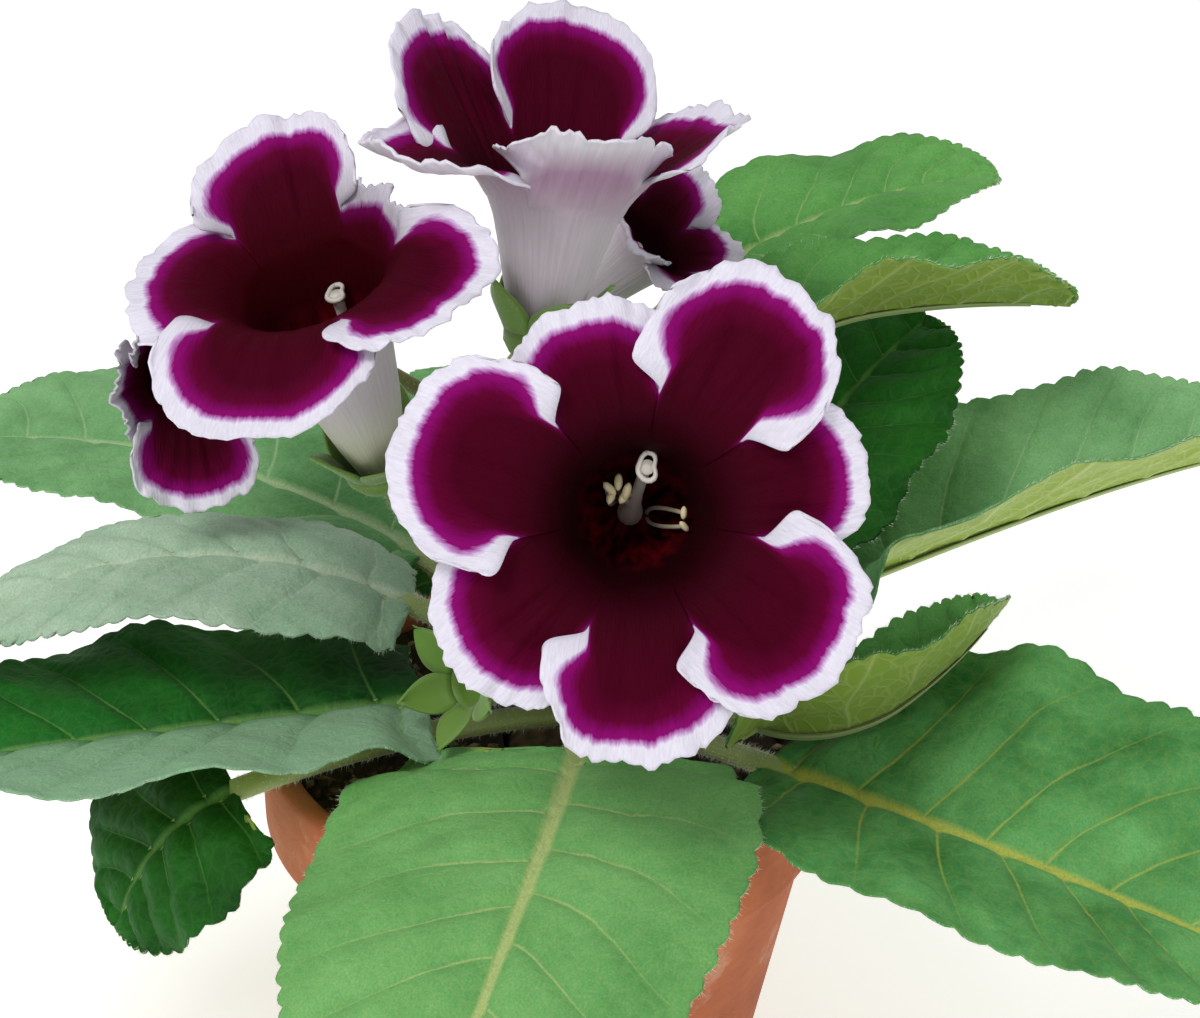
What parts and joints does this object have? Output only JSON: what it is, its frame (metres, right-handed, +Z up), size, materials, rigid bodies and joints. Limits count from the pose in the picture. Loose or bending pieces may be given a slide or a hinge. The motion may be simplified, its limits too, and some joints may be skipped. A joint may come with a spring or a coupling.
{
  "type": "potted gloxinia",
  "caption": "Flowering house plant in a tapered clay pot: rosette of broad scalloped velvety leaves under bell-shaped blooms with overlapping pale-edged lobes.",
  "frame": {"origin": "centre of the pot's flat underside", "axes": "+Z up, -Y the side that the largest bloom faces, +X to the right of a viewer at -Y"},
  "size_m": [0.3246, 0.308, 0.2538],
  "materials": {
    "clay": "unglazed fired clay",
    "soil": "peat and bark crumbs",
    "tuber": "corky skin",
    "leaf": "velvety, finely haired",
    "petal": "velvety",
    "stem": "hairy green stalk",
    "cream": "waxy"
  },
  "bodies": {
    "root": {"pot": "clay", "soil": "soil", "tuber_crown": "tuber", "leaf_front": "leaf", "leaf_front_right": "leaf", "leaf_curled_right": "leaf", "leaf_right": "leaf", "leaf_upper_right": "leaf", "leaf_back_right": "leaf", "leaf_dark_right": "leaf", "leaf_front_left": "leaf", "leaf_left": "leaf", "leaf_back_left": "leaf", "leaf_low_left": "leaf", "leaf_back": "leaf", "leaf_far_left": "leaf", "corolla_front": "petal", "stem_front": "stem", "pistil_front": "cream", "corolla_left": "petal", "stem_left": "stem", "pistil_left": "cream", "corolla_top": "petal", "stem_top": "stem", "pistil_top": "cream", "corolla_low_left": "petal", "stem_low_left": "stem", "pistil_low_left": "cream", "corolla_back": "petal", "stem_back": "stem", "pistil_back": "cream", "anthers_front": "cream", "anther_pair_front": "cream", "stem_spent": "stem"}
  },
  "joints": []
}
